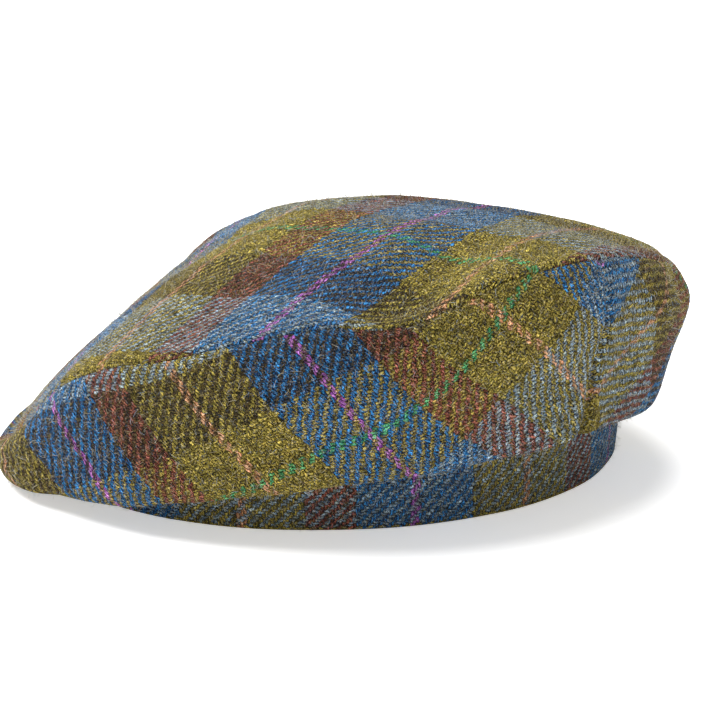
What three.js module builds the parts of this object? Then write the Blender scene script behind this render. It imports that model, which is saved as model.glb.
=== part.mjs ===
// Tam o shanter in plaid wool tweed: a round crown top, two bias side panels and a doubled headband.
// Millimetres, +Z up. The hat rests on the flat lower edge of its headband, the viewer stands at -Y.
import * as THREE from 'three';

// driving sizes
const bandLength = 202;
const bandWidth = 183;
const bandHeight = 28;
const bandWall = 3;
const bandTurn = 17;
const overhang = 17;
const crownRadius = bandLength / 2 + overhang;
const crownHeight = 88;
const clothWall = 2;
const pieceGap = 0.4;
const seatGap = 0.3;
const seatLip = 1;
const foldRadiusMost = 4;
const foldRadiusLeast = 2.6;
const seamAzimuth = 46;

// mesh density: steps round the hat, rings on the top, steps down the side
const stepsRound = 90;
const ringsTop = 12;
const stepsDown = 15;

// Shape of the crown, one row for each place round the hat.
// at: degrees from the front towards the right. seamOut, bulge and foldOut are shares of crownRadius,
// seamUp and foldUp shares of crownHeight, bulgeAt a share of the way from seam to fold,
// tent how straight the top runs from peak to seam, lean how far the band leans in, a share of its height.
const columns = ['at', 'seamOut', 'seamUp', 'bulge', 'bulgeAt', 'foldOut', 'foldUp', 'tent', 'lean'];
const sections = [
  [-152, 0.96, 0.58, 0.03, 0.40, 0.93, 0.12, 0.70, 0.35],
  [-142, 0.96, 0.39, 0.03, 0.40, 0.94, 0.06, 0.60, 0.40],
  [-130, 0.96, 0.28, 0.03, 0.40, 0.95, 0.025, 0.72, 0.45],
  [-112, 0.96, 0.095, 0.02, 0.50, 0.97, 0.018, 0.76, 0.55],
  [-88, 0.965, 0.085, 0.02, 0.50, 0.985, 0.018, 0.70, 0.55],
  [-74, 0.97, 0.15, 0.02, 0.50, 1.01, 0.02, 0.62, 0.45],
  [-62, 0.97, 0.28, 0.02, 0.50, 1.03, 0.035, 0.62, 0.32],
  [-50, 0.97, 0.48, 0.02, 0.50, 1.00, 0.062, 0.73, 0.20],
  [-38, 0.96, 0.60, 0.02, 0.50, 0.98, 0.085, 0.84, 0.10],
  [-27, 0.955, 0.66, 0.02, 0.50, 0.97, 0.13, 0.85, 0.04],
  [-16, 0.95, 0.735, 0.03, 0.50, 0.96, 0.175, 0.80, 0.02],
  [-1, 0.95, 0.81, 0.04, 0.45, 0.95, 0.23, 0.64, 0],
  [8, 0.95, 0.805, 0.05, 0.45, 0.95, 0.25, 0.34, 0],
  [16, 0.95, 0.845, 0.05, 0.40, 0.95, 0.265, 0.10, 0],
  [29, 0.96, 0.95, 0.05, 0.40, 0.94, 0.28, 0.04, 0],
  [50, 0.97, 0.96, 0.05, 0.35, 0.94, 0.29, 0.04, 0],
  [78, 0.97, 0.823, 0.07, 0.34, 0.97, 0.25, 0.06, 0],
  [100, 0.97, 0.765, 0.06, 0.32, 0.95, 0.24, 0.22, 0],
  [135, 0.96, 0.60, 0.06, 0.30, 0.92, 0.20, 0.15, 0.05],
  [175, 0.96, 0.58, 0.05, 0.35, 0.92, 0.17, 0.33, 0.2],
];

// the crown's peak: across and back are shares of crownRadius, up a share of crownHeight
const peak = { across: 0.02, back: -0.25, up: 1.013 };

// Soft dents (depth below 0) and puffs of the top: across, back, along and wide are shares of crownRadius,
// turn is the dent's direction in degrees from +X, depth a share of crownHeight.
const topFolds = [
  { across: 0.25, back: -0.73, along: 0.29, wide: 0.11, turn: 58, depth: -0.08 },
];

// Soft folds down the side: at in degrees, wide in degrees, down and tall as shares of the way
// from seam to fold, depth a share of crownRadius.
const sideFolds = [
  { at: 53, wide: 5, down: 0.55, tall: 0.35, depth: -0.02 },
  { at: 74, wide: 6, down: 0.35, tall: 0.40, depth: -0.015 },
];

const radians = THREE.MathUtils.degToRad;
const column = Object.fromEntries(columns.map((name, index) => [name, index]));

// value of one column at any place round the hat, smooth and periodic
function around(name, azimuth) {
  const c = column[name];
  const n = sections.length;
  let a = azimuth;
  while (a < sections[0][0]) a += 360;
  while (a >= sections[0][0] + 360) a -= 360;
  const row = (k) => {
    const turns = Math.floor(k / n);
    const r = sections[k - turns * n];
    return [r[0] + turns * 360, r[c]];
  };
  let k = 0;
  while (row(k + 1)[0] <= a) k += 1;
  const [a0, v0] = row(k - 1);
  const [a1, v1] = row(k);
  const [a2, v2] = row(k + 1);
  const [a3, v3] = row(k + 2);
  const h = a2 - a1;
  const t = (a - a1) / h;
  const m1 = (v2 - v0) / (a2 - a0);
  const m2 = (v3 - v1) / (a3 - a1);
  const t2 = t * t;
  const t3 = t2 * t;
  return (2 * t3 - 3 * t2 + 1) * v1 + (t3 - 2 * t2 + t) * h * m1
    + (3 * t2 - 2 * t3) * v2 + (t3 - t2) * h * m2;
}

// smooth curve through a short list of [out, up] points, t from 0 to 1
function curve(points, t) {
  const last = points.length - 1;
  const k = Math.min(Math.floor(t * last), last - 1);
  const f = t * last - k;
  const beyond = (p, q) => [2 * p[0] - q[0], 2 * p[1] - q[1]];
  const p0 = k > 0 ? points[k - 1] : beyond(points[0], points[1]);
  const p1 = points[k];
  const p2 = points[k + 1];
  const p3 = k + 2 <= last ? points[k + 2] : beyond(points[last], points[last - 1]);
  return [0, 1].map((i) => 0.5 * (2 * p1[i] + (p2[i] - p0[i]) * f
    + (2 * p0[i] - 5 * p1[i] + 4 * p2[i] - p3[i]) * f * f
    + (3 * p1[i] - p0[i] - 3 * p2[i] + p3[i]) * f * f * f));
}

// outer radius of the headband's oval at its lower edge
function bandRadius(azimuth) {
  const turn = radians(azimuth - 90 - bandTurn);
  const a = bandLength / 2;
  const b = bandWidth / 2;
  return (a * b) / Math.hypot(b * Math.cos(turn), a * Math.sin(turn));
}

// where the band's upper outer edge lies: it leans in where the crown weighs on it
function bandTop(azimuth) {
  const lean = around('lean', azimuth);
  return [bandRadius(azimuth) - lean * bandHeight, bandHeight * Math.sqrt(1 - lean * lean)];
}

function place(azimuth, out, up) {
  const turn = radians(azimuth - 90);
  return new THREE.Vector3(out * Math.cos(turn), out * Math.sin(turn), up);
}

function seamPoint(azimuth) {
  return [around('seamOut', azimuth) * crownRadius, around('seamUp', azimuth) * crownHeight];
}

// outer face of the crown top, reach 0 at the peak and 1 at the seam
function topPoint(azimuth, reach) {
  const [seamOut, seamUp] = seamPoint(azimuth);
  const tent = around('tent', azimuth);
  const soft = 0.27;
  const straight = (Math.hypot(reach, soft) - soft) / (Math.hypot(1, soft) - soft);
  const fall = tent * straight + (1 - tent) * reach ** 3;
  const point = place(azimuth, seamOut * reach, 0);
  point.x += peak.across * crownRadius * (1 - reach);
  point.y += peak.back * crownRadius * (1 - reach);
  point.z = seamUp + (peak.up * crownHeight - seamUp) * (1 - fall);
  for (const fold of topFolds) {
    const c = Math.cos(radians(fold.turn));
    const s = Math.sin(radians(fold.turn));
    const dx = point.x - fold.across * crownRadius;
    const dy = point.y - fold.back * crownRadius;
    const p = (dx * c + dy * s) / (fold.along * crownRadius);
    const q = (dy * c - dx * s) / (fold.wide * crownRadius);
    const fade = Math.min(1, (1 - reach) / 0.12) ** 0.8;
    point.z += fold.depth * crownHeight * Math.exp(-p * p - q * q) * fade;
  }
  return point;
}

// outer face of the side, down 0 at the seam and 1 at the sewn edge on the headband
function sidePoint(azimuth, down) {
  const [seamOut, seamUp] = seamPoint(azimuth);
  const bulge = around('bulge', azimuth) * crownRadius;
  const bulgeAt = around('bulgeAt', azimuth);
  const foldOut = around('foldOut', azimuth) * crownRadius;
  const foldUp = around('foldUp', azimuth) * crownHeight;
  const [edgeOut, edgeUp] = bandTop(azimuth);
  const foldRadius = THREE.MathUtils.clamp(0.4 * (seamUp - foldUp), foldRadiusLeast, foldRadiusMost);
  const wall = (q, share) => [
    seamOut + (foldOut - seamOut) * q + bulge * share,
    seamUp + (foldUp + foldRadius - seamUp) * q,
  ];
  const seat = edgeUp + seatGap;
  const points = [
    wall(0, 0),
    wall(bulgeAt * 0.5, 0.66),
    wall(bulgeAt, 1),
    wall((bulgeAt + 1) / 2, 0.45),
    [foldOut, foldUp + foldRadius],
    [foldOut - foldRadius, foldUp],
    [0.5 * (foldOut - foldRadius + edgeOut), foldUp * 0.6 + seat * 0.4],
    [edgeOut + seatLip, seat + seatLip / 4],
    [edgeOut - bandWall, seat + seatLip / 8],
  ];
  let [out, up] = curve(points, down);
  const share = down / (4 / (points.length - 1));
  for (const fold of sideFolds) {
    const p = (azimuth - fold.at) / fold.wide;
    const q = (share - fold.down) / fold.tall;
    const fade = Math.min(1, share / 0.2);
    out += fold.depth * crownRadius * Math.exp(-p * p - q * q) * fade;
  }
  return place(azimuth, out, up);
}

// unit normal of a face given as point(azimuth, share), pointing out of the cloth
function faceNormal(point, azimuth, share, flip) {
  const step = 1e-3;
  const low = Math.max(share - step, step * 0.01);
  const high = Math.min(share + step, 1);
  const alongRound = point(azimuth + 0.2, share).sub(point(azimuth - 0.2, share));
  const alongDown = point(azimuth, high).sub(point(azimuth, low));
  return alongRound.cross(alongDown).multiplyScalar(flip).normalize();
}

const topNormal = (azimuth, reach) => (reach < 0.02
  ? new THREE.Vector3(0, 0, 1)
  : faceNormal(topPoint, azimuth, reach, -1));
const sideNormal = (azimuth, down) => faceNormal(sidePoint, azimuth, down, -1);

// how the cloth's thickness points at the seam, mitred between top and side
function seamMitre(azimuth) {
  const top = topNormal(azimuth, 1);
  const middle = top.clone().add(sideNormal(azimuth, 0)).normalize();
  return middle.multiplyScalar(1 / Math.max(0.6, middle.dot(top)));
}

// a solid from vertex rings: each ring is a closed loop of points round the hat or round a section
function solidFrom(vertices, faces) {
  const geometry = new THREE.BufferGeometry();
  const position = vertices.flatMap((v) => [v.x, v.y, v.z]);
  geometry.setAttribute('position', new THREE.Float32BufferAttribute(position, 3));
  geometry.setIndex(faces.flat());
  geometry.computeVertexNormals();
  return geometry;
}

function quad(faces, a, b, c, d) {
  faces.push([a, b, c], [a, c, d]);
}

// round disc of cloth, hollow side down
function crownTop() {
  const vertices = [];
  const faces = [];
  const azimuths = Array.from({ length: stepsRound }, (_, i) => seamAzimuth + (360 * i) / stepsRound);
  const crest = topPoint(0, 0);
  vertices.push(crest, crest.clone().add(new THREE.Vector3(0, 0, -clothWall)));
  for (let ring = 1; ring <= ringsTop; ring += 1) {
    const reach = ring / ringsTop;
    for (const azimuth of azimuths) {
      const outer = topPoint(azimuth, reach);
      const thick = ring === ringsTop ? seamMitre(azimuth) : topNormal(azimuth, reach);
      if (ring === ringsTop) {
        const back = topPoint(azimuth, reach - 0.01).sub(outer).normalize();
        outer.addScaledVector(back, pieceGap / 2);
      }
      vertices.push(outer, outer.clone().addScaledVector(thick, -clothWall));
    }
  }
  const at = (ring, i, inner) => 2 + 2 * ((ring - 1) * stepsRound + (i % stepsRound)) + inner;
  for (let i = 0; i < stepsRound; i += 1) {
    faces.push([0, at(1, i, 0), at(1, i + 1, 0)], [1, at(1, i + 1, 1), at(1, i, 1)]);
    for (let ring = 1; ring < ringsTop; ring += 1) {
      quad(faces, at(ring, i, 0), at(ring + 1, i, 0), at(ring + 1, i + 1, 0), at(ring, i + 1, 0));
      quad(faces, at(ring, i + 1, 1), at(ring + 1, i + 1, 1), at(ring + 1, i, 1), at(ring, i, 1));
    }
    const last = ringsTop;
    quad(faces, at(last, i, 0), at(last, i, 1), at(last, i + 1, 1), at(last, i + 1, 0));
  }
  return solidFrom(vertices, faces);
}

// one half side panel, from its top seam over the fold to the sewn edge on the headband
function sidePanel(from, to) {
  const vertices = [];
  const faces = [];
  const steps = Math.round((stepsRound * (to - from)) / 360);
  const middleOut = crownRadius;
  const endTurn = THREE.MathUtils.radToDeg(pieceGap / 2 / middleOut);
  for (let i = 0; i <= steps; i += 1) {
    let azimuth = from + ((to - from) * i) / steps;
    if (i === 0) azimuth += endTurn;
    if (i === steps) azimuth -= endTurn;
    for (let j = 0; j <= stepsDown; j += 1) {
      const down = j / stepsDown;
      const outer = sidePoint(azimuth, down);
      const thick = j === 0 ? seamMitre(azimuth) : sideNormal(azimuth, down);
      if (j === 0) {
        const on = sidePoint(azimuth, 0.01).sub(outer).normalize();
        outer.addScaledVector(on, pieceGap / 2);
      }
      vertices.push(outer, outer.clone().addScaledVector(thick, -clothWall));
    }
  }
  const at = (i, j, inner) => 2 * (i * (stepsDown + 1) + j) + inner;
  for (let i = 0; i < steps; i += 1) {
    for (let j = 0; j < stepsDown; j += 1) {
      quad(faces, at(i, j, 0), at(i, j + 1, 0), at(i + 1, j + 1, 0), at(i + 1, j, 0));
      quad(faces, at(i, j, 1), at(i + 1, j, 1), at(i + 1, j + 1, 1), at(i, j + 1, 1));
    }
    quad(faces, at(i, 0, 0), at(i + 1, 0, 0), at(i + 1, 0, 1), at(i, 0, 1));
    quad(faces, at(i, stepsDown, 0), at(i, stepsDown, 1), at(i + 1, stepsDown, 1), at(i + 1, stepsDown, 0));
  }
  for (let j = 0; j < stepsDown; j += 1) {
    quad(faces, at(0, j, 0), at(0, j, 1), at(0, j + 1, 1), at(0, j + 1, 0));
    quad(faces, at(steps, j, 0), at(steps, j + 1, 0), at(steps, j + 1, 1), at(steps, j, 1));
  }
  return solidFrom(vertices, faces);
}

// doubled cloth ring that the hat rests on, its lower edge flat on z = 0
function headband() {
  const vertices = [];
  const faces = [];
  for (let i = 0; i < stepsRound; i += 1) {
    const azimuth = seamAzimuth + (360 * i) / stepsRound;
    const low = bandRadius(azimuth);
    const [highOut, highUp] = bandTop(azimuth);
    vertices.push(
      place(azimuth, low, 0),
      place(azimuth, highOut, highUp),
      place(azimuth, highOut - bandWall, highUp),
      place(azimuth, low - bandWall, 0),
    );
  }
  for (let i = 0; i < stepsRound; i += 1) {
    const next = (i + 1) % stepsRound;
    for (let k = 0; k < 4; k += 1) {
      const up = (k + 1) % 4;
      quad(faces, 4 * i + k, 4 * next + k, 4 * next + up, 4 * i + up);
    }
  }
  return solidFrom(vertices, faces);
}

const tweed = (color) => new THREE.MeshStandardMaterial({ color, roughness: 0.95, metalness: 0 });

function piece(name, geometry, color) {
  const mesh = new THREE.Mesh(geometry, tweed(color));
  mesh.name = name;
  return mesh;
}

const pieces = [
  piece('crown_top', crownTop(), 0x77704f),
  piece('side_front', sidePanel(seamAzimuth - 180, seamAzimuth), 0x5d6b74),
  piece('side_back', sidePanel(seamAzimuth, seamAzimuth + 180), 0x7a7263),
  piece('headband', headband(), 0x5f6c86),
];

// the origin is the middle of the hat's footprint, on the surface that it rests on
const bounds = new THREE.Box3();
for (const mesh of pieces) {
  mesh.geometry.computeBoundingBox();
  bounds.union(mesh.geometry.boundingBox);
}
const middle = bounds.getCenter(new THREE.Vector3());
for (const mesh of pieces) {
  mesh.geometry.translate(-middle.x, -middle.y, 0);
}

const group = new THREE.Group();
group.add(...pieces);

export default group;
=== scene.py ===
import bpy
import math
import numpy as np
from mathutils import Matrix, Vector


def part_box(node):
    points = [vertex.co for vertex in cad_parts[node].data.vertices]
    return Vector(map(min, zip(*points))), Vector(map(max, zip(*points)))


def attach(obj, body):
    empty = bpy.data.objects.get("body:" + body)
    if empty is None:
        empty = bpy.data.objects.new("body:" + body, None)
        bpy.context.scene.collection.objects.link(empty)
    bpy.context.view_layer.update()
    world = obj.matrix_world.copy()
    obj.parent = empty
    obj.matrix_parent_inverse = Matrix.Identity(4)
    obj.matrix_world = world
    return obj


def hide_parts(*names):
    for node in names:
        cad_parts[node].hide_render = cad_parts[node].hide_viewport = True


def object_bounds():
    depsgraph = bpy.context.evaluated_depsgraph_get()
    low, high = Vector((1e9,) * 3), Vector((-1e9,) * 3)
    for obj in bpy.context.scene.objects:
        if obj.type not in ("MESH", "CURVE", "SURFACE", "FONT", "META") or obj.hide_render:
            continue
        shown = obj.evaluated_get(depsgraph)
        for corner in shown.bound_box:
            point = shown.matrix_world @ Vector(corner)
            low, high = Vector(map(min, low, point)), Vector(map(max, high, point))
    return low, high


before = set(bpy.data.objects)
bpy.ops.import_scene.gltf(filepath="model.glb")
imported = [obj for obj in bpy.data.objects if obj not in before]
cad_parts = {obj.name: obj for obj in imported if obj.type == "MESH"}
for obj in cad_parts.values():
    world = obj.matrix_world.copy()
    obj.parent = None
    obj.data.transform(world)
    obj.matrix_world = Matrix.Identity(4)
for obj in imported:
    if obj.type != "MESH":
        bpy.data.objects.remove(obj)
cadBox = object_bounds()
print("CAD model loaded")

mm = 0.001  # shapes are worked out in millimetres and scaled once, when their mesh is made

# sizes shared with the CAD model
hat = {
    "bandLength": 202.0,
    "bandWidth": 183.0,
    "bandHeight": 28.0,
    "bandWall": 3.0,
    "bandTurn": 17.0,
    "overhang": 17.0,
    "crownHeight": 88.0,
    "clothWall": 2.0,
    "pieceGap": 0.4,
    "seatGap": 0.3,
    "seatLip": 1.0,
    "foldRadiusMost": 4.0,
    "foldRadiusLeast": 2.6,
    "sideSeam": 46.0,  # degrees from the front towards the right
    "peakAcross": 0.02,
    "peakBack": -0.25,
    "peakUp": 1.013,
    "peakSoft": 0.27,
}
hat["crownRadius"] = hat["bandLength"] / 2 + hat["overhang"]

# the crown's form round the hat, the same rows as the CAD model's
sectionColumns = ["at", "seamOut", "seamUp", "bulge", "bulgeAt", "foldOut", "foldUp", "tent", "lean"]
sectionRows = np.array([
    [-152, 0.96, 0.58, 0.03, 0.40, 0.93, 0.12, 0.70, 0.35],
    [-142, 0.96, 0.39, 0.03, 0.40, 0.94, 0.06, 0.60, 0.40],
    [-130, 0.96, 0.28, 0.03, 0.40, 0.95, 0.025, 0.72, 0.45],
    [-112, 0.96, 0.095, 0.02, 0.50, 0.97, 0.018, 0.76, 0.55],
    [-88, 0.965, 0.085, 0.02, 0.50, 0.985, 0.018, 0.70, 0.55],
    [-74, 0.97, 0.15, 0.02, 0.50, 1.01, 0.02, 0.62, 0.45],
    [-62, 0.97, 0.28, 0.02, 0.50, 1.03, 0.035, 0.62, 0.32],
    [-50, 0.97, 0.48, 0.02, 0.50, 1.00, 0.062, 0.73, 0.20],
    [-38, 0.96, 0.60, 0.02, 0.50, 0.98, 0.085, 0.84, 0.10],
    [-27, 0.955, 0.66, 0.02, 0.50, 0.97, 0.13, 0.85, 0.04],
    [-16, 0.95, 0.735, 0.03, 0.50, 0.96, 0.175, 0.80, 0.02],
    [-1, 0.95, 0.81, 0.04, 0.45, 0.95, 0.23, 0.64, 0],
    [8, 0.95, 0.805, 0.05, 0.45, 0.95, 0.25, 0.34, 0],
    [16, 0.95, 0.845, 0.05, 0.40, 0.95, 0.265, 0.10, 0],
    [29, 0.96, 0.95, 0.05, 0.40, 0.94, 0.28, 0.04, 0],
    [50, 0.97, 0.96, 0.05, 0.35, 0.94, 0.29, 0.04, 0],
    [78, 0.97, 0.823, 0.07, 0.34, 0.97, 0.25, 0.06, 0],
    [100, 0.97, 0.765, 0.06, 0.32, 0.95, 0.24, 0.22, 0],
    [135, 0.96, 0.60, 0.06, 0.30, 0.92, 0.20, 0.15, 0.05],
    [175, 0.96, 0.58, 0.05, 0.35, 0.92, 0.17, 0.33, 0.2],
])

# soft folds of the top: place and size as shares of crownRadius, turn in degrees, depth of crownHeight
topFolds = [
    {"across": 0.25, "back": -0.73, "along": 0.29, "wide": 0.11, "turn": 58, "depth": -0.08},
]

# soft folds down the side: at and wide in degrees, down and tall as shares from seam to fold
sideFolds = [
    {"at": 53, "wide": 5, "down": 0.55, "tall": 0.35, "depth": -0.02},
    {"at": 74, "wide": 6, "down": 0.35, "tall": 0.40, "depth": -0.015},
]


# value of one column at any place round the hat, smooth and periodic
def around(name, azimuth):
    at = sectionRows[:, 0]
    value = np.tile(sectionRows[:, sectionColumns.index(name)], 3)
    atLong = np.concatenate([at - 360, at, at + 360])
    slope = np.zeros_like(value)
    slope[1:-1] = (value[2:] - value[:-2]) / (atLong[2:] - atLong[:-2])
    a = (azimuth - at[0]) % 360 + at[0]
    k = np.searchsorted(atLong, a, side="right") - 1
    h = atLong[k + 1] - atLong[k]
    t = (a - atLong[k]) / h
    return ((2 * t**3 - 3 * t**2 + 1) * value[k] + (t**3 - 2 * t**2 + t) * h * slope[k]
            + (3 * t**2 - 2 * t**3) * value[k + 1] + (t**3 - t**2) * h * slope[k + 1])


# smooth curve through a short list of values, t from 0 to 1
def curveThrough(values, t):
    points = np.stack([value + 0 * t for value in values])
    last = len(points) - 1
    points = np.concatenate([2 * points[:1] - points[1:2], points, 2 * points[-1:] - points[-2:-1]])
    k = np.clip(np.floor(t * last).astype(int), 0, last - 1)
    f = t * last - k
    p0, p1, p2, p3 = [np.take_along_axis(points, (k + step)[None], axis=0)[0] for step in range(4)]
    return 0.5 * (2 * p1 + (p2 - p0) * f + (2 * p0 - 5 * p1 + 4 * p2 - p3) * f**2
                  + (3 * p1 - p0 - 3 * p2 + p3) * f**3)


def place(azimuth, out, up):
    turn = np.radians(azimuth - 90)
    return np.stack([out * np.cos(turn), out * np.sin(turn), up + 0 * out], axis=-1)


# outer radius of the headband's oval at its lower edge
def bandRadius(azimuth):
    turn = np.radians(azimuth - 90 - hat["bandTurn"])
    a = hat["bandLength"] / 2
    b = hat["bandWidth"] / 2
    return a * b / np.hypot(b * np.cos(turn), a * np.sin(turn))


def bandTop(azimuth):
    lean = around("lean", azimuth)
    return bandRadius(azimuth) - lean * hat["bandHeight"], hat["bandHeight"] * np.sqrt(1 - lean**2)


# outer face of the crown top, reach 0 at the peak and 1 at the seam
def topPoint(azimuth, reach):
    radius = hat["crownRadius"]
    height = hat["crownHeight"]
    seamUp = around("seamUp", azimuth) * height
    tent = around("tent", azimuth)
    soft = hat["peakSoft"]
    straight = (np.hypot(reach, soft) - soft) / (np.hypot(1, soft) - soft)
    fall = tent * straight + (1 - tent) * reach**3
    point = place(azimuth, around("seamOut", azimuth) * radius * reach, 0 * reach)
    point[..., 0] += hat["peakAcross"] * radius * (1 - reach)
    point[..., 1] += hat["peakBack"] * radius * (1 - reach)
    point[..., 2] = seamUp + (hat["peakUp"] * height - seamUp) * (1 - fall)
    for fold in topFolds:
        c = math.cos(math.radians(fold["turn"]))
        s = math.sin(math.radians(fold["turn"]))
        dx = point[..., 0] - fold["across"] * radius
        dy = point[..., 1] - fold["back"] * radius
        p = (dx * c + dy * s) / (fold["along"] * radius)
        q = (dy * c - dx * s) / (fold["wide"] * radius)
        fade = np.minimum(1, (1 - reach) / 0.12) ** 0.8
        point[..., 2] += fold["depth"] * height * np.exp(-p**2 - q**2) * fade
    return point


# outer face of the side, down 0 at the seam and 1 at the sewn edge on the headband
def sidePoint(azimuth, down):
    radius = hat["crownRadius"]
    height = hat["crownHeight"]
    seamOut = around("seamOut", azimuth) * radius
    seamUp = around("seamUp", azimuth) * height
    bulge = around("bulge", azimuth) * radius
    bulgeAt = around("bulgeAt", azimuth)
    foldOut = around("foldOut", azimuth) * radius
    foldUp = around("foldUp", azimuth) * height
    edgeOut, edgeUp = bandTop(azimuth)
    foldRadius = np.clip(0.4 * (seamUp - foldUp), hat["foldRadiusLeast"], hat["foldRadiusMost"])
    seat = edgeUp + hat["seatGap"]
    wallDown = [0, bulgeAt * 0.5, bulgeAt, (bulgeAt + 1) / 2]
    wallBulge = [0, 0.66, 1, 0.45]
    outs = [seamOut + (foldOut - seamOut) * q + bulge * b for q, b in zip(wallDown, wallBulge)]
    ups = [seamUp + (foldUp + foldRadius - seamUp) * q for q in wallDown]
    outs += [foldOut, foldOut - foldRadius, 0.5 * (foldOut - foldRadius + edgeOut)]
    ups += [foldUp + foldRadius, foldUp, foldUp * 0.6 + seat * 0.4]
    outs += [edgeOut + hat["seatLip"], edgeOut - hat["bandWall"]]
    ups += [seat + hat["seatLip"] / 4, seat + hat["seatLip"] / 8]
    out = curveThrough(outs, down)
    up = curveThrough(ups, down)
    share = down * (len(outs) - 1) / 4
    for fold in sideFolds:
        p = (azimuth - fold["at"]) / fold["wide"]
        q = (share - fold["down"]) / fold["tall"]
        out = out + fold["depth"] * radius * np.exp(-p**2 - q**2) * np.minimum(1, share / 0.2)
    return place(azimuth, out, up)


# unit normals of a grid of points [round, along, xyz], out of the cloth
def gridNormals(points, closedRound):
    if closedRound:
        ring = np.concatenate([points[-1:], points, points[:1]])
        alongRound = np.gradient(ring, axis=0)[1:-1]
    else:
        alongRound = np.gradient(points, axis=0)
    normal = np.cross(np.gradient(points, axis=1), alongRound)
    return normal / np.maximum(np.linalg.norm(normal, axis=-1, keepdims=True), 1e-9)


# slow random waves in space, about -1 to 1: soft cloth is never quite smooth
def softWaves(points, size, seed):
    random = np.random.default_rng(seed)
    total = np.zeros(points.shape[:-1])
    for _ in range(9):
        direction = random.normal(size=3)
        direction /= np.linalg.norm(direction)
        length = size * random.uniform(0.7, 1.6)
        total += np.sin((points @ direction) * 2 * math.pi / length + random.uniform(0, 2 * math.pi))
    return total / 3


# distance along a grid from its first column
def runLength(points, axis):
    step = np.linalg.norm(np.diff(points, axis=axis), axis=-1)
    start = np.zeros_like(np.take(step, [0], axis=axis))
    return np.concatenate([start, np.cumsum(step, axis=axis)], axis=axis)


bandCentre = (np.array(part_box("headband")[0]) + np.array(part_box("headband")[1])) / 2 / mm
bandCentre[2] = 0


def gridFaces(index):
    return np.stack([index[:-1, :-1], index[:-1, 1:], index[1:, 1:], index[1:, :-1]], -1).reshape(-1, 4)


# mesh from points, faces and, for each face corner, a place on the plaid
def clothMesh(name, verts, faces, corners, cloth, outside):
    mesh = bpy.data.meshes.new(name)
    mesh.from_pydata(((verts + bandCentre) * mm).tolist(), [], [tuple(f) for f in faces])
    order = np.concatenate([np.asarray(c) for c in corners])
    layer = mesh.uv_layers.new(name="cloth")
    layer.data.foreach_set("uv", cloth[order].astype(np.float32).ravel())
    mesh.polygons.foreach_set("use_smooth", [True] * len(mesh.polygons))
    mark = mesh.attributes.new("outside", "FLOAT", "FACE")
    mark.data.foreach_set("value", np.asarray(outside, dtype=np.float32))
    mesh.update()
    piece = bpy.data.objects.new(name, mesh)
    bpy.context.scene.collection.objects.link(piece)
    return piece


# a cloth wall from a grid: outer face, the same face one wall inside, and the edges between
def clothShell(name, outer, inward, cloth, closedRound, centre=None):
    n, m = outer.shape[:2]
    shift = n * m
    verts = np.concatenate([outer.reshape(-1, 3), (outer + inward).reshape(-1, 3)])
    clothAll = np.concatenate([cloth.reshape(-1, 2), cloth.reshape(-1, 2)])
    index = np.arange(shift).reshape(n, m)
    if closedRound:
        index = np.concatenate([index, index[:1]])
    shown = gridFaces(index)
    first = index[:, 0]
    last = index[:, -1]
    quads = [shown, shown[:, ::-1] + shift]
    quads.append(np.stack([last[:-1], last[:-1] + shift, last[1:] + shift, last[1:]], -1))
    if centre is None:
        quads.append(np.stack([first[1:], first[1:] + shift, first[:-1] + shift, first[:-1]], -1))
    if not closedRound:
        for row, turned in ((index[0], False), (index[-1], True)):
            edge = np.stack([row[:-1], row[:-1] + shift, row[1:] + shift, row[1:]], -1)
            quads.append(edge[:, ::-1] if turned else edge)
    faces = np.concatenate(quads).tolist()
    outside = [1] * len(shown) + [0] * (len(faces) - len(shown))
    if centre is not None:
        above, clothAt = centre
        k = len(verts)
        verts = np.concatenate([verts, [above, above - [0, 0, hat["clothWall"]]]])
        clothAll = np.concatenate([clothAll, [clothAt, clothAt]])
        faces += [[k, int(p), int(q)] for p, q in zip(first[:-1], first[1:])]
        faces += [[k + 1, int(q) + shift, int(p) + shift] for p, q in zip(first[:-1], first[1:])]
        outside += [1] * n + [0] * n
    return clothMesh(name, verts, faces, faces, clothAll, outside)


# How the plaid lies on each panel, in threads of warp and weft. Each is a table of powers: the row is
# the power of the first direction over the cloth, the column that of the second, in units of 100 mm.
# On the top the directions start at the peak, and "pull" is how the front half is drawn out of square.
crownCloth = {
    "warp": [[36.11, -58.83], [77.28, 0]],
    "weft": [[6.38, 75.15], [63.45, 0]],
    "warpPull": [
        [-8.97, 7.96, 11.51, -7.68, -10.2],
        [6.94, -0.55, -1.22, 7.15, 0],
        [17.09, 5.11, -12.05, 0, 0],
        [-2.1, 1.95, 0, 0, 0],
        [-6.98, 0, 0, 0, 0],
    ],
    "weftPull": [
        [10.2, -2.63, -8.77, -1.9, 0.07],
        [-11.06, 23.64, 26.53, -15.0, 0],
        [-20.07, -10.74, 28.49, 0, 0],
        [5.9, -18.17, 0, 0, 0],
        [10.11, 0, 0, 0, 0],
    ],
    "pullEnds": (-15, 70),  # mm behind the middle
}
sideFrontCloth = {
    "warp": [
        [-154.05, 72.98, 11.48, -14.99],
        [-96.72, 4.85, 0.13, 0],
        [7.16, 13.24, 0, 0],
        [1.27, 0, 0, 0],
    ],
    "weft": [
        [-33.97, 97.04, -14.56, -5.94],
        [37.5, -12.48, -9.55, 0],
        [22.73, -29.35, 0, 0],
        [-0.75, 0, 0, 0],
    ],
}
sideBackCloth = {
    "warp": [[-131.2, 91.6], [91.2, 0]],
    "weft": [[-135.5, -40.7], [82.4, 0]],
}

# mm: how far the sewn edges turn in, and over what width
seam = {"roll": 1.2, "sideRoll": 3.4, "reach": 2.0}


def threads(powers, first, second):
    first, second = np.broadcast_arrays(first / 100, second / 100)
    return np.polynomial.polynomial.polyval2d(first, second, np.array(powers))


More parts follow.
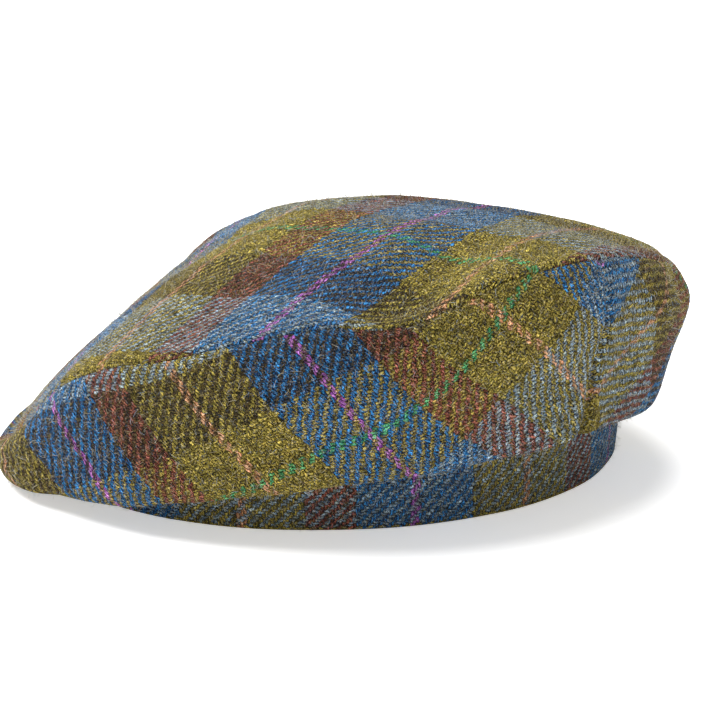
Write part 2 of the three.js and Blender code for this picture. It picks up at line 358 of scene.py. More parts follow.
# the sewn edge between side and band is drawn in, in mm, from these shares of each piece on
crease = {"depth": 2.4, "sideFrom": 0.7, "sideFull": 0.87, "bandFrom": 0.62}


def smoothStep(t):
    t = np.clip(t, 0, 1)
    return t * t * (3 - 2 * t)


def seamWeight(distance):
    return np.exp(-(distance / seam["reach"]) ** 2)


# direction between the faces of top and side at their seam, and how far a mitred wall reaches along it
def seamMitre(azimuth):
    normals = []
    for surface, edge, step in ((topPoint, 1, -0.004), (sidePoint, 0, 0.004)):
        share = np.full_like(azimuth, edge, dtype=float)
        here = surface(azimuth, share)
        along = (surface(azimuth, share + step) - here) * np.sign(step)
        turned = surface(azimuth + 0.3, share) - surface(azimuth - 0.3, share)
        normal = np.cross(along, turned)
        normals.append(normal / np.linalg.norm(normal, axis=-1, keepdims=True))
    middle = normals[0] + normals[1]
    middle /= np.linalg.norm(middle, axis=-1, keepdims=True)
    return middle, 1 / np.maximum(0.6, np.sum(middle * normals[0], axis=-1, keepdims=True))


# moves the first or last row of a grid half a gap back along the cloth
def trimEdge(points, row, neighbour):
    back = points[:, neighbour] - points[:, row]
    points[:, row] += back / np.linalg.norm(back, axis=-1, keepdims=True) * hat["pieceGap"] / 2


# threads of the plaid at each point of the top, from its distance over the cloth to the peak
def crownThreads(peak, points):
    start = np.broadcast_to(peak, points[:, :1].shape)
    distance = runLength(np.concatenate([start, points], axis=1), 1)[:, 1:]
    heading = points[:, -1:] - peak
    heading = heading / np.maximum(np.linalg.norm(heading[..., :2], axis=-1, keepdims=True), 1e-9)
    first = distance * heading[..., 0]
    second = distance * heading[..., 1]
    start, end = crownCloth["pullEnds"]
    pull = 1 - smoothStep((points[..., 1] - start) / (end - start))
    counts = []
    for yarn in ("warp", "weft"):
        flat = threads(crownCloth[yarn], first, second)
        counts.append(flat + pull * threads(crownCloth[yarn + "Pull"], first, second))
    return np.stack(counts, -1)


# crown top: one round disc of cloth, with soft waves in mm
crownTopMesh = {
    "round": 300,
    "rings": 62,
    "edgeRings": 16,
    "waveLength": 26,
    "waveDepth": 0.35,
    "waveSeed": 3,
}


def makeCrownTop():
    azimuth = np.arange(crownTopMesh["round"]) * 360 / crownTopMesh["round"] + hat["sideSeam"]
    edgeReach = np.linspace(0.947, 1, crownTopMesh["edgeRings"])
    reach = np.concatenate([np.linspace(0.02, 0.94, crownTopMesh["rings"]), edgeReach])
    a, q = np.meshgrid(azimuth, reach, indexing="ij")
    peak = topPoint(np.zeros(1), np.zeros(1))[0]
    points = topPoint(a, q)
    normal = gridNormals(points, True)
    mitre, stretch = seamMitre(azimuth)
    edge = (1 - q) * hat["crownRadius"]
    calm = np.minimum(1, edge / 12) * np.minimum(1, q / 0.15)
    wave = softWaves(points, crownTopMesh["waveLength"], crownTopMesh["waveSeed"])
    points += normal * (wave * crownTopMesh["waveDepth"] * calm)[..., None]
    points -= mitre[:, None] * (seam["roll"] * seamWeight(edge))[..., None]
    trimEdge(points, -1, -2)
    inward = -normal * hat["clothWall"]
    inward[:, -1] = -mitre * stretch * hat["clothWall"]
    centre = (peak, crownThreads(peak, peak[None, None])[0, 0])
    return clothShell("crown_top_cloth", points, inward, crownThreads(peak, points), True, centre)


# half side panel, from the top seam over the fold to the sewn edge on the headband
sideMesh = {"round": 190, "waveLength": 30, "waveDepth": 0.4}


def makeSidePanel(name, start, end, clothFit, seed):
    trim = math.degrees(hat["pieceGap"] / 2 / hat["crownRadius"])
    near = np.array([0, 0.16, 0.36, 0.6, 0.9, 1.3])
    middle = np.linspace(start + 2.2, end - 2.2, sideMesh["round"])
    azimuth = np.concatenate([start + trim + near, middle, end - trim - near[::-1]])
    down = np.concatenate([[0, 0.003, 0.006, 0.01, 0.015, 0.022], np.linspace(0.03, 0.44, 46),
                           np.linspace(0.45, 0.68, 34), np.linspace(0.70, 1, 18)])
    a, d = np.meshgrid(azimuth, down, indexing="ij")
    points = sidePoint(a, d)
    normal = gridNormals(points, False)
    mitre, stretch = seamMitre(azimuth)
    slope = runLength(points, 1)
    allRound = np.linspace(-180, 228, 1633)
    girth = sidePoint(allRound, np.full_like(allRound, 0.25))
    length = runLength(girth[:, None], 0)[:, 0]
    along = np.interp(azimuth, allRound, length) - np.interp(0, allRound, length)
    warp = threads(clothFit["warp"], along[:, None], slope)
    weft = threads(clothFit["weft"], along[:, None], slope)
    sideEdge = np.radians(np.minimum(a - start, end - a)) * hat["crownRadius"]
    calm = np.minimum(1, slope / 10) * np.minimum(1, (1 - d) / 0.3)
    wave = softWaves(points, sideMesh["waveLength"], seed)
    points += normal * (wave * sideMesh["waveDepth"] * calm)[..., None]
    sideRoll = seam["sideRoll"] * np.clip(slope / 25, 0.3, 1) * np.minimum(1, (1 - d) / 0.2)
    points -= normal * (sideRoll * seamWeight(sideEdge))[..., None]
    points -= mitre[:, None] * (seam["roll"] * seamWeight(slope))[..., None]
    span = crease["sideFull"] - crease["sideFrom"]
    drawn = crease["depth"] * smoothStep((d - crease["sideFrom"]) / span)
    points -= place(a, drawn, 0)
    trimEdge(points, 0, 1)
    inward = -normal * hat["clothWall"]
    inward[:, 0] = -mitre * stretch * hat["clothWall"]
    return clothShell(name, points, inward, np.stack([warp, weft], -1), False)


# headband: doubled cloth on the straight grain, folded at its lower edge, its own seam at the back
band = {
    "warpAt": 30.1,  # thread at the front
    "threadsPerMm": 1.02,
    "weftAtEdge": 18.0,
    "edgeRadius": 1.2,
    "swell": 0.35,
    "round": 360,
    "rows": 22,
    "waveLength": 34,
    "waveDepth": 0.3,
    "waveSeed": 8,
}


def makeHeadband():
    n = band["round"]
    azimuth = np.arange(n + 1) * 360 / n - 180
    low = bandRadius(azimuth)
    highOut, highUp = bandTop(azimuth)
    wall = hat["bandWall"]
    r = band["edgeRadius"]
    turns = np.linspace(0, math.pi / 2, 6)
    shares = np.linspace(0, 1, band["rows"])[1:]
    swell = band["swell"] * np.sin(math.pi * shares)
    # share of the height, offset outwards and upwards: down the inner face, round the fold, up the outer
    inner = [(s, -wall + 0.4 * w, r * (1 - s)) for s, w in zip(shares[::-1], swell[::-1])]
    inner += [(0, -wall + r - r * math.cos(t), r - r * math.sin(t)) for t in turns]
    outer = [(0, -r + r * math.sin(t), r - r * math.cos(t)) for t in turns]
    outer += [(s, w, r * (1 - s)) for s, w in zip(shares, swell)]
    loop = inner + outer
    rings = [place(azimuth, low + (highOut - low) * s + out, highUp * s + up) for s, out, up in loop]
    points = np.stack(rings, 1)
    rows = np.array([s for s, _, _ in loop])
    drawn = crease["depth"] * smoothStep((rows - crease["bandFrom"]) / (1 - crease["bandFrom"]))
    wave = softWaves(points, band["waveLength"], band["waveSeed"]) * band["waveDepth"] - drawn
    points[..., 0] += wave * np.cos(np.radians(azimuth - 90))[:, None]
    points[..., 1] += wave * np.sin(np.radians(azimuth - 90))[:, None]
    m = len(loop)
    arc = runLength(points[:, len(inner) + 5:len(inner) + 6], 0)[:, 0]
    arc -= arc[n // 2]
    rise = runLength(points, 1) - runLength(points, 1)[:, len(inner):len(inner) + 1]
    warp = band["warpAt"] + band["threadsPerMm"] * arc[:, None] + 0 * rise
    weft = band["weftAtEdge"] + rise
    clothAt = np.arange((n + 1) * m).reshape(n + 1, m)
    index = np.concatenate([clothAt[:-1], clothAt[:1]])
    faces = gridFaces(np.concatenate([index, index[:, :1]], 1))[:, ::-1]
    corners = gridFaces(np.concatenate([clothAt, clothAt[:, -1:]], 1))[:, ::-1]
    shown = np.tile(np.arange(m) >= len(inner), n)
    return clothMesh("headband_cloth", points[:-1].reshape(-1, 3), faces.tolist(), corners.tolist(),
                     np.stack([warp, weft], -1).reshape(-1, 2), shown)


# sRGB hex to the linear values that Blender works in
def hexColour(code):
    parts = [int(code[k:k + 2], 16) / 255 for k in (1, 3, 5)]
    return tuple(c / 12.92 if c <= 0.04045 else ((c + 0.055) / 1.055) ** 2.4 for c in parts) + (1.0,)


# one node with its settings, and its inputs as values, sockets or nodes
def addNode(tree, kind, settings=None, inputs=None):
    node = tree.nodes.new(kind)
    for key, value in (settings or {}).items():
        setattr(node, key, value)
    for key, value in (inputs or {}).items():
        if isinstance(value, bpy.types.Node):
            value = value.outputs[0]
        if isinstance(value, bpy.types.NodeSocket):
            tree.links.new(value, node.inputs[key])
        else:
            node.inputs[key].default_value = value
    return node


asNumber = {"data_type": "FLOAT"}
asColour = {"data_type": "RGBA"}
flatNoise = {"noise_dimensions": "2D"}


# colours of a ramp, each kept up to the next place
def setStops(ramp, stops):
    ramp.interpolation = "CONSTANT"
    while len(ramp.elements) > 1:
        ramp.elements.remove(ramp.elements[-1])
    for k, (at, code) in enumerate(stops):
        element = ramp.elements[0] if k == 0 else ramp.elements.new(at)
        element.position = at
        element.color = hexColour(code)


# wool tweed, woven as a 2/2 twill: matt and hairy, yarns about 1 mm apart, diagonal ribs 2.9 mm apart
tweed = {
    # heather yarns: painted shade on the fibres in the shade, the main dye, a second dye spun in with
    # it, painted highlight on the fibres in the light
    "dyes": {
        "olive": ("#0e0b03", "#866f1e", "#686f28", "#ecd468"),
        "brown": ("#0a0303", "#6e2420", "#642c24", "#d8866e"),
        "blue": ("#01060e", "#044ea8", "#086ca8", "#50b4f8"),
        "dark": ("#010101", "#1a1008", "#0a1830", "#786240"),
        "light": ("#101e2c", "#6c9ed6", "#98a66c", "#dae8e8"),
        "plum": ("#561c68", "#9a3ab2", "#843698", "#f8b0ff"),
        "orange": ("#8a5430", "#e2925a", "#cc8050", "#ffe0b4"),
        "green": ("#0c5228", "#20a04e", "#2a9064", "#90f4aa"),
    },
    "warpRepeat": 98,
    "weftRepeat": 92,
    # threads from the middle of the olive stripe to where each colour starts
    "warpStripes": [(-49, "blue"), (-43, "plum"), (-40, "blue"), (-21, "olive"), (-1, "orange"),
                    (2, "olive"), (21, "brown"), (37, "blue")],
    "weftStripes": [(-46, "light"), (-42.5, "dark"), (-19.5, "olive"), (-1.5, "green"),
                    (1.5, "olive"), (19.5, "light")],
    "wobble": 1.5,  # threads that a yarn may stray from its line
    "cover": 4.2,  # how far raised fibres of one yarn hide the other
    "yarnShade": 0.2,
    "gapShade": 0.04,  # painted shade: how dark the colour is painted between two floats
    # pattern scales, for each thread of 1 mm: real fibres are finer, and these are as fine as shows
    "strayScale": 0.22,
    "fibreScale": (3.0, 1.5, 5.3),  # across the yarn, along it, from yarn to yarn
    "napScale": 2.3,
    "blendScale": 1.7,
    "patchScale": 0.3,
    "patchShade": (0.55, 1.45),
    "fleckScale": 0.95,
    "fleckShare": 0.35,
    "fleckDyes": [(0.0, "#c9b25a"), (0.42, "#6f7f3a"), (0.47, "#b5854f"), (0.5, "#2c4a66"),
                  (0.54, "#5f88ac"), (0.6, "#d8d2bc")],
    "fibreRelief": 1.6,
    "bump": 1.0,
    "bumpDepth": 0.5,  # mm
    "roughness": 0.95,
    "specular": 0.08,
    "sheen": 0.02,
    "sheenTint": "#d8cfb4",
}


def makeTweed(name):
    material = bpy.data.materials.new(name)
    material.use_nodes = True
    tree = material.node_tree
    tree.nodes.clear()
    out = addNode(tree, "ShaderNodeOutputMaterial")
    shader = addNode(tree, "ShaderNodeBsdfPrincipled")
    tree.links.new(shader.outputs[0], out.inputs[0])
    clothPlace = addNode(tree, "ShaderNodeUVMap", {"uv_map": "cloth"})
    stray = addNode(tree, "ShaderNodeTexNoise", flatNoise,
                    {"Vector": clothPlace, "Scale": tweed["strayScale"], "Detail": 3.0,
                     "Roughness": 0.75})
    centred = addNode(tree, "ShaderNodeVectorMath", {"operation": "SUBTRACT"},
                      {0: stray.outputs["Color"], 1: (0.5, 0.5, 0.5)})
    moved = addNode(tree, "ShaderNodeVectorMath", {"operation": "SCALE"},
                    {0: centred, "Scale": tweed["wobble"] * 2})
    yarnPlace = addNode(tree, "ShaderNodeVectorMath", {"operation": "ADD"}, {0: clothPlace, 1: moved})
    split = addNode(tree, "ShaderNodeSeparateXYZ", {}, {0: yarnPlace})
    u = split.outputs[0]
    v = split.outputs[1]
    warpCount = addNode(tree, "ShaderNodeMath", {"operation": "FLOOR"}, {0: u})
    weftCount = addNode(tree, "ShaderNodeMath", {"operation": "FLOOR"}, {0: v})
    warpSide = addNode(tree, "ShaderNodeMath", {"operation": "FRACT"}, {0: u})
    weftSide = addNode(tree, "ShaderNodeMath", {"operation": "FRACT"}, {0: v})

    # the twill: each warp yarn goes over two wefts and under two, one further on than its neighbour
    step = addNode(tree, "ShaderNodeMath", {"operation": "SUBTRACT"}, {0: warpCount, 1: weftCount})
    turn = addNode(tree, "ShaderNodeMath", {"operation": "FLOORED_MODULO"}, {0: step, 1: 4.0})
    warpUp = addNode(tree, "ShaderNodeMath", {"operation": "LESS_THAN"}, {0: turn, 1: 1.5})
    warpRun = addNode(tree, "ShaderNodeMath", {"operation": "SUBTRACT"}, {0: v, 1: warpCount})
    warpRun = addNode(tree, "ShaderNodeMath", {"operation": "ADD"}, {0: warpRun, 1: 1.0})
    weftRun = addNode(tree, "ShaderNodeMath", {"operation": "SUBTRACT"}, {0: u, 1: weftCount})
    weftRun = addNode(tree, "ShaderNodeMath", {"operation": "ADD"}, {0: weftRun, 1: 2.0})
    run = addNode(tree, "ShaderNodeMix", asNumber, {0: warpUp, 2: weftRun, 3: warpRun})
    run = addNode(tree, "ShaderNodeMath", {"operation": "FLOORED_MODULO"}, {0: run, 1: 4.0})
    across = addNode(tree, "ShaderNodeMix", asNumber, {0: warpUp, 2: weftSide, 3: warpSide})
    arch = addNode(tree, "ShaderNodeMath", {"operation": "MULTIPLY"}, {0: run, 1: math.pi / 2})
    arch = addNode(tree, "ShaderNodeMath", {"operation": "SINE"}, {0: arch})
    barrel = addNode(tree, "ShaderNodeMath", {"operation": "MULTIPLY"}, {0: across, 1: math.pi})
    barrel = addNode(tree, "ShaderNodeMath", {"operation": "SINE"}, {0: barrel})
    height = addNode(tree, "ShaderNodeMath", {"operation": "MULTIPLY_ADD"}, {0: arch, 1: 0.6, 2: 0.4})
    height = addNode(tree, "ShaderNodeMath", {"operation": "MULTIPLY"}, {0: height, 1: barrel})

    # fibres along each yarn
    own = addNode(tree, "ShaderNodeMix", asNumber, {0: warpUp, 2: weftCount, 3: warpCount})
    lengthways = addNode(tree, "ShaderNodeMix", asNumber, {0: warpUp, 2: u, 3: v})
    fibrePlace = addNode(tree, "ShaderNodeCombineXYZ", {}, {0: across, 1: lengthways, 2: own})
    fibrePlace = addNode(tree, "ShaderNodeVectorMath", {"operation": "MULTIPLY"},
                         {0: fibrePlace, 1: tweed["fibreScale"]})
    fibres = addNode(tree, "ShaderNodeTexNoise", {"noise_dimensions": "3D"},
                     {"Vector": fibrePlace, "Scale": 1.0, "Detail": 2.0, "Roughness": 0.7,
                      "Distortion": 0.8})
    # fibres raised by fulling, lying in all directions over the weave
    nap = addNode(tree, "ShaderNodeTexNoise", flatNoise,
                  {"Vector": clothPlace, "Scale": tweed["napScale"], "Detail": 1.5, "Roughness": 0.75,
                   "Distortion": 2.0})
    # this fibre noise shapes the bump and also picks where the fibres take painted shade and painted
    # highlight
    mixed = addNode(tree, "ShaderNodeMix", asNumber, {0: 0.5, 2: fibres, 3: nap})
    fromPaintedShade = addNode(tree, "ShaderNodeMapRange", {}, {"Value": mixed, 1: 0.475, 2: 0.5})
    toPaintedHighlight = addNode(tree, "ShaderNodeMapRange", {}, {"Value": mixed, 1: 0.53, 2: 0.565})
    blend = addNode(tree, "ShaderNodeTexNoise", flatNoise,
                    {"Vector": clothPlace, "Scale": tweed["blendScale"], "Detail": 2.0, "Roughness": 0.7,
                     "Distortion": 1.2})
    toSecond = addNode(tree, "ShaderNodeMapRange", {}, {"Value": blend, 1: 0.5, 2: 0.56})
    # raised fibres of the yarn underneath cover parts of the one on top
    cover = addNode(tree, "ShaderNodeMath", {"operation": "SUBTRACT"},
                    {0: blend.outputs["Color"], 1: 0.5})
    cover = addNode(tree, "ShaderNodeMath", {"operation": "MULTIPLY_ADD"},
                    {0: cover, 1: tweed["cover"], 2: warpUp})
    cover = addNode(tree, "ShaderNodeMapRange", {}, {"Value": cover, 1: 0.12, 2: 0.62})

    # the stripes: a place in each repeat picks the yarn's dyes
    yarns = []
    for count, repeat, stripes in ((warpCount, tweed["warpRepeat"], tweed["warpStripes"]),
                                   (weftCount, tweed["weftRepeat"], tweed["weftStripes"])):
        middle = addNode(tree, "ShaderNodeMath", {"operation": "ADD"},
                         {0: count, 1: 0.5 + repeat / 2})
        share = addNode(tree, "ShaderNodeMath", {"operation": "DIVIDE"}, {0: middle, 1: float(repeat)})
        share = addNode(tree, "ShaderNodeMath", {"operation": "FRACT"}, {0: share})
        shades = []
        for shade in range(4):
            ramp = addNode(tree, "ShaderNodeValToRGB", {}, {0: share})
            stops = [(at / repeat + 0.5, tweed["dyes"][dye][shade]) for at, dye in stripes]
            setStops(ramp.color_ramp, stops)
            shades.append(ramp)
        spun = addNode(tree, "ShaderNodeMix", asColour, {0: toSecond, 6: shades[1], 7: shades[2]})
        # the fibre noise mixes in each palette's first colour, painted shade, and its last colour,
        # painted highlight
        spun = addNode(tree, "ShaderNodeMix", asColour, {0: fromPaintedShade, 6: shades[0], 7: spun.outputs[2]})
        yarns.append(addNode(tree, "ShaderNodeMix", asColour,
                             {0: toPaintedHighlight, 6: spun.outputs[2], 7: shades[3]}))
    yarn = addNode(tree, "ShaderNodeMix", asColour,
                   {0: cover, 6: yarns[1].outputs[2], 7: yarns[0].outputs[2]})

    # no two yarns take the dye alike, and painted shade darkens the cloth between the floats
    ownShade = addNode(tree, "ShaderNodeTexWhiteNoise", {"noise_dimensions": "1D"}, {"W": own})
    shade = addNode(tree, "ShaderNodeMapRange", {},
                    {"Value": ownShade.outputs[0], 3: 1 - tweed["yarnShade"], 4: 1 + tweed["yarnShade"]})
    patches = addNode(tree, "ShaderNodeTexNoise", flatNoise,
                      {"Vector": clothPlace, "Scale": tweed["patchScale"], "Detail": 3.0,
                       "Roughness": 0.7})
    least, most = tweed["patchShade"]
    patch = addNode(tree, "ShaderNodeMapRange", {},
                    {"Value": patches.outputs[0], 1: 0.32, 2: 0.68, 3: least, 4: most})
    light = addNode(tree, "ShaderNodeMath", {"operation": "MULTIPLY"}, {0: shade, 1: patch})
    # painted shade in the low places between floats, from the weave's height
    gap = addNode(tree, "ShaderNodeMapRange", {},
                  {"Value": height, 1: 0.08, 2: 0.75, 3: tweed["gapShade"], 4: 1.0})
    light = addNode(tree, "ShaderNodeMath", {"operation": "MULTIPLY"}, {0: light, 1: gap})
    colour = addNode(tree, "ShaderNodeVectorMath", {"operation": "SCALE"},
                     {0: yarn.outputs[2], "Scale": light})

    # stray fibres of other dyes lie over the weave
    flecks = addNode(tree, "ShaderNodeTexNoise", flatNoise,
                     {"Vector": clothPlace, "Scale": tweed["fleckScale"], "Detail": 2.0,
                      "Distortion": 3.0})
    fleckAt = addNode(tree, "ShaderNodeMapRange", {},
                      {"Value": flecks.outputs[0], 1: 0.59, 2: 0.65, 3: 0.0, 4: tweed["fleckShare"]})
    fleckTint = addNode(tree, "ShaderNodeTexNoise", flatNoise,
                        {"Vector": clothPlace, "Scale": 0.7, "Detail": 1.0})
    tint = addNode(tree, "ShaderNodeValToRGB", {}, {0: fleckTint.outputs[0]})
    setStops(tint.color_ramp, tweed["fleckDyes"])
    colour = addNode(tree, "ShaderNodeMix", asColour, {0: fleckAt, 6: colour, 7: tint})

    relief = addNode(tree, "ShaderNodeMath", {"operation": "MULTIPLY_ADD"},
                     {0: mixed, 1: tweed["fibreRelief"], 2: height})
    bump = addNode(tree, "ShaderNodeBump", {},
                   {"Strength": tweed["bump"], "Distance": tweed["bumpDepth"] * mm, "Height": relief})
    tree.links.new(colour.outputs[2], shader.inputs["Base Color"])
    tree.links.new(bump.outputs[0], shader.inputs["Normal"])
    shader.inputs["Roughness"].default_value = tweed["roughness"]
    shader.inputs["Specular IOR Level"].default_value = tweed["specular"]
    shader.inputs["Sheen Weight"].default_value = tweed["sheen"]
    shader.inputs["Sheen Roughness"].default_value = 0.6
    shader.inputs["Sheen Tint"].default_value = hexColour(tweed["sheenTint"])
    return material


# loose wool fibres: fine and pale, they soften every edge of the cloth
fibre = {
    "length": 2.4,  # mm
    "thickness": 0.09,  # mm, about three times the real one, so that it shows
    "perSquareCm": 20,
    "seed": 11,
    "size": (0.4, 1.15),
    "lean": (0.35, 1.45),  # radians from upright
    # the middle and the end of each strand, as shares of the length
    "strands": [((0.15, 0.1, 0.5), (0.45, 0.0, 0.85)), ((-0.1, 0.3, 0.4), (0.2, 0.6, 0.6)),
                ((0.3, -0.1, 0.35), (0.1, -0.3, 0.9))],
    "dyes": [(0.0, "#b8ad8a"), (0.3, "#8c8256"), (0.5, "#9aa6b0"), (0.68, "#c8bfa6"),
             (0.84, "#8a6a4e"), (0.93, "#5f7f99")],
    "roughness": 0.7,
    "specular": 0.3,
}


def makeFibreMaterial():
    material = bpy.data.materials.new("loose wool fibres")
    material.use_nodes = True
    tree = material.node_tree
    tree.nodes.clear()
    out = addNode(tree, "ShaderNodeOutputMaterial")
    shader = addNode(tree, "ShaderNodeBsdfPrincipled")
    tree.links.new(shader.outputs[0], out.inputs[0])
    each = addNode(tree, "ShaderNodeNewGeometry")
    dye = addNode(tree, "ShaderNodeValToRGB", {}, {0: each.outputs["Random Per Island"]})
    setStops(dye.color_ramp, fibre["dyes"])
    tree.links.new(dye.outputs[0], shader.inputs["Base Color"])
    shader.inputs["Roughness"].default_value = fibre["roughness"]
    shader.inputs["Specular IOR Level"].default_value = fibre["specular"]
    return material


# Geometry Nodes tree: curved strands scattered over the outer face of a cloth
def makeFibreTree(material):
    tree = bpy.data.node_groups.new("loose fibres", "GeometryNodeTree")
    face = tree.interface
    for name, kind in (("Geometry", "Geometry"), ("Length", "Float"), ("Thickness", "Float"),
                       ("Density", "Float"), ("Seed", "Int")):
        face.new_socket(name, in_out="INPUT", socket_type="NodeSocket" + kind)
    face.new_socket("Geometry", in_out="OUTPUT", socket_type="NodeSocketGeometry")
    given = addNode(tree, "NodeGroupInput")
    result = addNode(tree, "NodeGroupOutput")
    outside = addNode(tree, "GeometryNodeInputNamedAttribute", asNumber, {"Name": "outside"})
    density = addNode(tree, "ShaderNodeMath", {"operation": "MULTIPLY"},
                      {0: outside.outputs[0], 1: given.outputs["Density"]})
    scatter = addNode(tree, "GeometryNodeDistributePointsOnFaces", {},
                      {"Mesh": given.outputs["Geometry"], "Density": density,
                       "Seed": given.outputs["Seed"]})
    # a few strands, each bent its own way
    strands = addNode(tree, "GeometryNodeJoinGeometry")
    ring = addNode(tree, "GeometryNodeCurvePrimitiveCircle", {"mode": "RADIUS"}, {"Resolution": 3})
    half = addNode(tree, "ShaderNodeMath", {"operation": "MULTIPLY"},
                   {0: given.outputs["Thickness"], 1: 0.5})
    tree.links.new(half.outputs[0], ring.inputs["Radius"])
    for bend, end in fibre["strands"]:
        middle = addNode(tree, "ShaderNodeVectorMath", {"operation": "SCALE"},
                         {0: bend, "Scale": given.outputs["Length"]})
        tip = addNode(tree, "ShaderNodeVectorMath", {"operation": "SCALE"},
                      {0: end, "Scale": given.outputs["Length"]})
        strand = addNode(tree, "GeometryNodeCurveQuadraticBezier", {},
                         {"Resolution": 3, "Start": (0.0, 0.0, 0.0), "Middle": middle, "End": tip})
        body = addNode(tree, "GeometryNodeCurveToMesh", {},
                       {"Curve": strand, "Profile Curve": ring, "Fill Caps": True})
        one = addNode(tree, "GeometryNodeGeometryToInstance", {}, {0: body})
        tree.links.new(one.outputs[0], strands.inputs[0])
    spin = addNode(tree, "FunctionNodeRandomValue", asNumber, {2: 0.0, 3: 2 * math.pi, "Seed": 1})
    low, high = fibre["lean"]
    lean = addNode(tree, "FunctionNodeRandomValue", asNumber, {2: low, 3: high, "Seed": 2})
    low, high = fibre["size"]
    size = addNode(tree, "FunctionNodeRandomValue", asNumber, {2: low, 3: high, "Seed": 3})
    pick = addNode(tree, "FunctionNodeRandomValue", {"data_type": "INT"},
                   {4: 0, 5: len(fibre["strands"]) - 1, "Seed": 4})
    spinTurn = addNode(tree, "ShaderNodeCombineXYZ", {}, {2: spin.outputs[1]})
    leanTurn = addNode(tree, "ShaderNodeCombineXYZ", {}, {0: lean.outputs[1]})
    turned = addNode(tree, "FunctionNodeRotateEuler", {"rotation_type": "EULER", "space": "LOCAL"},
                     {0: scatter.outputs["Rotation"], 1: spinTurn})
    turned = addNode(tree, "FunctionNodeRotateEuler", {"rotation_type": "EULER", "space": "LOCAL"},
                     {0: turned, 1: leanTurn})
    laid = addNode(tree, "GeometryNodeInstanceOnPoints", {},
                   {"Points": scatter.outputs["Points"], "Instance": strands, "Pick Instance": True,
                    "Instance Index": pick.outputs[2], "Rotation": turned, "Scale": size.outputs[1]})
    real = addNode(tree, "GeometryNodeRealizeInstances", {}, {0: laid})
    dyed = addNode(tree, "GeometryNodeSetMaterial", {}, {"Geometry": real, "Material": material})
    tree.links.new(dyed.outputs[0], result.inputs[0])
    return tree


# runs the fibre tree on a copy of the cloth and keeps the result as a plain mesh
def makeFibres(name, clothPiece, tree, seed):
    worker = bpy.data.objects.new(name + "_worker", clothPiece.data)
    bpy.context.scene.collection.objects.link(worker)
    modifier = worker.modifiers.new("fibres", "NODES")
    modifier.node_group = tree
    values = {"Length": fibre["length"] * mm, "Thickness": fibre["thickness"] * mm,
              "Density": fibre["perSquareCm"] * 10000.0, "Seed": seed}
    for item in tree.interface.items_tree:
        if item.in_out == "INPUT" and item.name in values:
            modifier[item.identifier] = values[item.name]
    ready = worker.evaluated_get(bpy.context.evaluated_depsgraph_get())
    mesh = bpy.data.meshes.new_from_object(ready)
    mesh.name = name
    spots = np.empty(len(mesh.vertices) * 3)
    mesh.vertices.foreach_get("co", spots)
    spots[2::3] = np.maximum(spots[2::3], 0.05 * mm)  # those at the lower edge lie on the floor
    mesh.vertices.foreach_set("co", spots)
    bpy.data.objects.remove(worker)
    piece = bpy.data.objects.new(name, mesh)
    bpy.context.scene.collection.objects.link(piece)
    return piece


# the camera first: the photograph's angle above the floor
camera = {"above": 17.5, "distance": 700.0, "lens": 97.75, "shiftAcross": 0.0361, "shiftUp": 0.1153}
view = bpy.data.objects.new("camera", bpy.data.cameras.new("camera"))
view.data.lens = camera["lens"]
view.data.sensor_width = 36
view.data.shift_x = camera["shiftAcross"]
view.data.shift_y = camera["shiftUp"]
above = math.radians(camera["above"])
away = Vector((0, -math.cos(above), math.sin(above))) * camera["distance"] * mm
view.location = Vector(bandCentre * mm) + away
view.rotation_euler = (math.pi / 2 - above, 0, 0)
bpy.context.scene.collection.objects.link(view)
bpy.context.scene.camera = view

crownTop = makeCrownTop()
sideFront = makeSidePanel("side_front_cloth", hat["sideSeam"] - 180, hat["sideSeam"], sideFrontCloth, 5)
sideBack = makeSidePanel("side_back_cloth", hat["sideSeam"], hat["sideSeam"] + 180, sideBackCloth, 6)
headband = makeHeadband()
print("cloth pieces made")

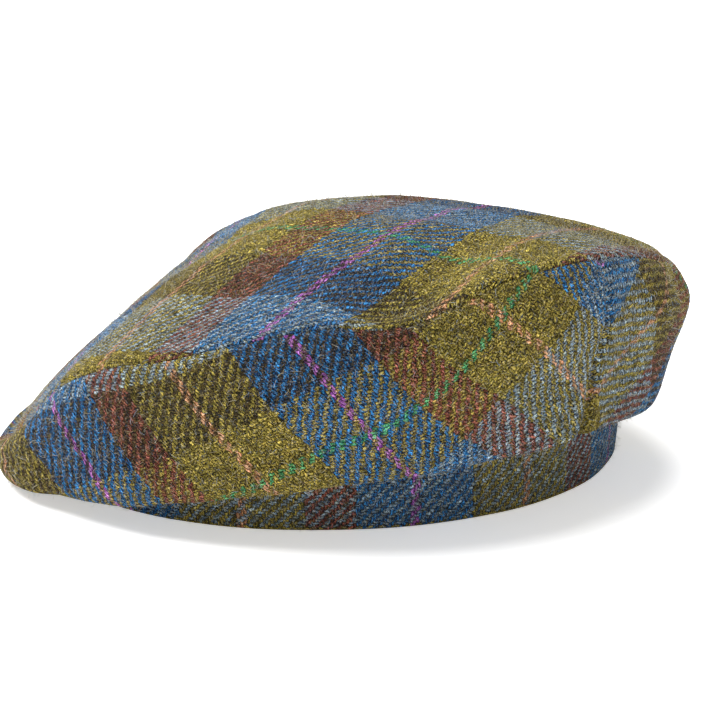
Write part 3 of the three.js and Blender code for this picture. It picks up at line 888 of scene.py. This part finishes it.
tweedMaterial = makeTweed("wool tweed, plaid, 2/2 twill")
fibreMaterial = makeFibreMaterial()
fibreTree = makeFibreTree(fibreMaterial)
pieces = [(crownTop, "crown_top"), (sideFront, "side_front"), (sideBack, "side_back"),
          (headband, "headband")]
for k, (piece, node) in enumerate(pieces):
    piece.data.materials.append(tweedMaterial)
    fuzz = makeFibres(node + "_fibres", piece, fibreTree, fibre["seed"] + k)
    triangles = sum(len(p.vertices) - 2 for p in fuzz.data.polygons)
    print(node, "fibres:", triangles, "triangles")
    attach(piece, "root")
    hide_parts(node)
    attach(fuzz, "root")
print("materials and fibres made")

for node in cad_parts:
    solid = bpy.data.objects.get(node)
    if solid is not None and hasattr(solid.data, "materials"):
        solid.data.materials.clear()
        solid.data.materials.append(tweedMaterial)

# plain pale floor and soft studio light
studio = {
    "floor": "#ffffff",
    "floorHalf": 15,  # m
    "floorGlow": 0.5,
    "sky": "#ffffff",
    "skyStrength": 0.3,
    "sun": 7.3,
    "sunAngle": 60.0,
    "sunFrom": (-0.35, 0.3, 1.0),
}
half = studio["floorHalf"]
floorMesh = bpy.data.meshes.new("floor")
floorMesh.from_pydata([(-half, -half, 0), (half, -half, 0), (half, half, 0), (-half, half, 0)], [],
                      [(0, 1, 2, 3)])
# a lit white table: it glows a little, so shadows stay faint and the band gets light from below
floorMaterial = bpy.data.materials.new("lit white table")
floorMaterial.use_nodes = True
table = floorMaterial.node_tree.nodes["Principled BSDF"]
table.inputs["Base Color"].default_value = hexColour(studio["floor"])
table.inputs["Roughness"].default_value = 0.9
table.inputs["Emission Color"].default_value = hexColour(studio["floor"])
table.inputs["Emission Strength"].default_value = studio["floorGlow"]
floorMesh.materials.append(floorMaterial)
floor = bpy.data.objects.new("floor", floorMesh)
floor.location.z = cadBox[0][2] - 0.0002
bpy.context.scene.collection.objects.link(floor)

world = bpy.data.worlds.new("studio")
world.use_nodes = True
sky = world.node_tree.nodes["Background"]
sky.inputs[0].default_value = hexColour(studio["sky"])
sky.inputs[1].default_value = studio["skyStrength"]
bpy.context.scene.world = world
bpy.context.scene.view_settings.view_transform = "Standard"
softbox = bpy.data.lights.new("overhead softbox", "SUN")
softbox.energy = studio["sun"]
softbox.angle = math.radians(studio["sunAngle"])
holder = bpy.data.objects.new("overhead softbox", softbox)
holder.rotation_euler = Vector(studio["sunFrom"]).to_track_quat("Z", "Y").to_euler()
bpy.context.scene.collection.objects.link(holder)
print("floor and light set")
